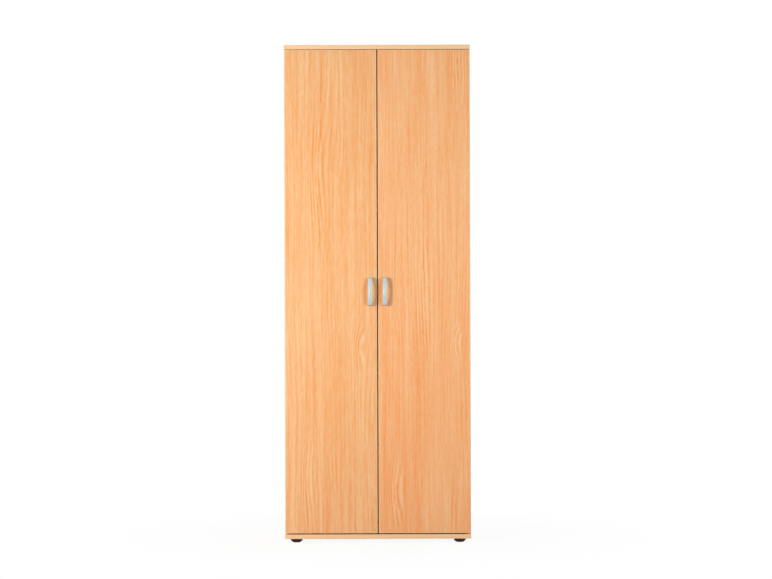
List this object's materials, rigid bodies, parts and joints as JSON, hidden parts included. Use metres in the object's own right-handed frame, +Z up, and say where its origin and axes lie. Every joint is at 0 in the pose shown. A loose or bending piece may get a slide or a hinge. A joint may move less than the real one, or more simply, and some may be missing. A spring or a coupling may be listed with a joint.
{
  "type": "office cupboard",
  "caption": "Tall beech-decor office cupboard with full-height hinged doors on concealed cup hinges, bow handles, shelves inside and round levelling feet.",
  "frame": {"origin": "on the floor, at the middle of the closed cupboard's outer box", "axes": "+Z up, the doors face -Y, +X to the right as seen from the front"},
  "size_m": [0.8, 0.428, 2.1435],
  "materials": {
    "beech_decor_board": "satin melamine decor",
    "beech_edge_band": "satin edge band",
    "back_board": "satin melamine decor",
    "dowel_wood": "raw turned",
    "zinc_plated_steel": "satin plated",
    "satin_handle_metal": "satin",
    "nickel_plated_steel": "bright plated",
    "dark_plastic": "fine matt"
  },
  "bodies": {
    "carcass": {"back_panel": "back_board", "bottom_panel": "beech_decor_board", "bottom_panel_edging": "beech_edge_band", "dowels": "dowel_wood", "fixed_shelf": "beech_decor_board", "foot_sockets": "zinc_plated_steel", "left_hinge_arms": "nickel_plated_steel", "left_hinge_plates": "nickel_plated_steel", "left_side_panel": "beech_decor_board", "right_hinge_arms": "nickel_plated_steel", "right_hinge_plates": "nickel_plated_steel", "right_side_panel": "beech_decor_board", "shelf_1": "beech_decor_board", "shelf_2": "beech_decor_board", "shelf_3": "beech_decor_board", "shelf_4": "beech_decor_board", "shelf_edgings": "beech_edge_band", "shelf_pins": "zinc_plated_steel", "side_panel_edgings": "beech_edge_band", "top_panel": "beech_decor_board", "top_panel_edging": "beech_edge_band"},
    "left_door": {"left_door_panel": "beech_decor_board", "left_door_edging": "beech_edge_band", "left_handle": "satin_handle_metal", "left_hinge_cups": "nickel_plated_steel"},
    "left_outer_link_set": {"left_outer_links": "nickel_plated_steel"},
    "left_inner_link_set": {"left_inner_links": "nickel_plated_steel"},
    "right_door": {"right_door_panel": "beech_decor_board", "right_door_edging": "beech_edge_band", "right_handle": "satin_handle_metal", "right_hinge_cups": "nickel_plated_steel"},
    "right_outer_link_set": {"right_outer_links": "nickel_plated_steel"},
    "right_inner_link_set": {"right_inner_links": "nickel_plated_steel"},
    "left_front_foot_glide": {"left_front_foot": "dark_plastic"},
    "left_rear_foot_glide": {"left_rear_foot": "dark_plastic"},
    "right_front_foot_glide": {"right_front_foot": "dark_plastic"},
    "right_rear_foot_glide": {"right_rear_foot": "dark_plastic"}
  },
  "joints": [
    {"name": "left_outer_link_pivot", "type": "hinge", "parent": "carcass", "child": "left_outer_link_set", "pos_m": [-0.3657, -0.1735, 1.08225], "axis": [0, 0, 1], "range_deg": [0, 29.5]},
    {"name": "left_door_pivot", "type": "hinge", "parent": "left_outer_link_set", "child": "left_door", "pos_m": [-0.3861, -0.1746, 1.08225], "axis": [0, 0, -1], "range_deg": [0, 124.5]},
    {"name": "left_inner_link_pivot", "type": "hinge", "parent": "carcass", "child": "left_inner_link_set", "pos_m": [-0.3652, -0.1662, 1.08225], "axis": [0, 0, 1], "range_deg": [0, 44.5]},
    {"name": "right_outer_link_pivot", "type": "hinge", "parent": "carcass", "child": "right_outer_link_set", "pos_m": [0.3657, -0.1735, 1.08225], "axis": [0, 0, -1], "range_deg": [0, 29.5]},
    {"name": "right_door_pivot", "type": "hinge", "parent": "right_outer_link_set", "child": "right_door", "pos_m": [0.3861, -0.1746, 1.08225], "axis": [0, 0, 1], "range_deg": [0, 124.5]},
    {"name": "right_inner_link_pivot", "type": "hinge", "parent": "carcass", "child": "right_inner_link_set", "pos_m": [0.3652, -0.1662, 1.08225], "axis": [0, 0, -1], "range_deg": [0, 44.5]},
    {"name": "left_front_foot_turn", "type": "hinge", "parent": "carcass", "child": "left_front_foot_glide", "pos_m": [-0.3525, -0.134, 0.0185], "axis": [0, 0, 1], "continuous": true},
    {"name": "left_rear_foot_turn", "type": "hinge", "parent": "carcass", "child": "left_rear_foot_glide", "pos_m": [-0.3525, 0.162, 0.0185], "axis": [0, 0, 1], "continuous": true},
    {"name": "right_front_foot_turn", "type": "hinge", "parent": "carcass", "child": "right_front_foot_glide", "pos_m": [0.3525, -0.134, 0.0185], "axis": [0, 0, 1], "continuous": true},
    {"name": "right_rear_foot_turn", "type": "hinge", "parent": "carcass", "child": "right_rear_foot_glide", "pos_m": [0.3525, 0.162, 0.0185], "axis": [0, 0, 1], "continuous": true}
  ],
  "couplings": [
    {"joint": "left_outer_link_pivot", "follows": "left_door_pivot", "ratio": 0.23695},
    {"joint": "left_inner_link_pivot", "follows": "left_door_pivot", "ratio": 0.35743},
    {"joint": "right_outer_link_pivot", "follows": "right_door_pivot", "ratio": 0.23695},
    {"joint": "right_inner_link_pivot", "follows": "right_door_pivot", "ratio": 0.35743}
  ]
}
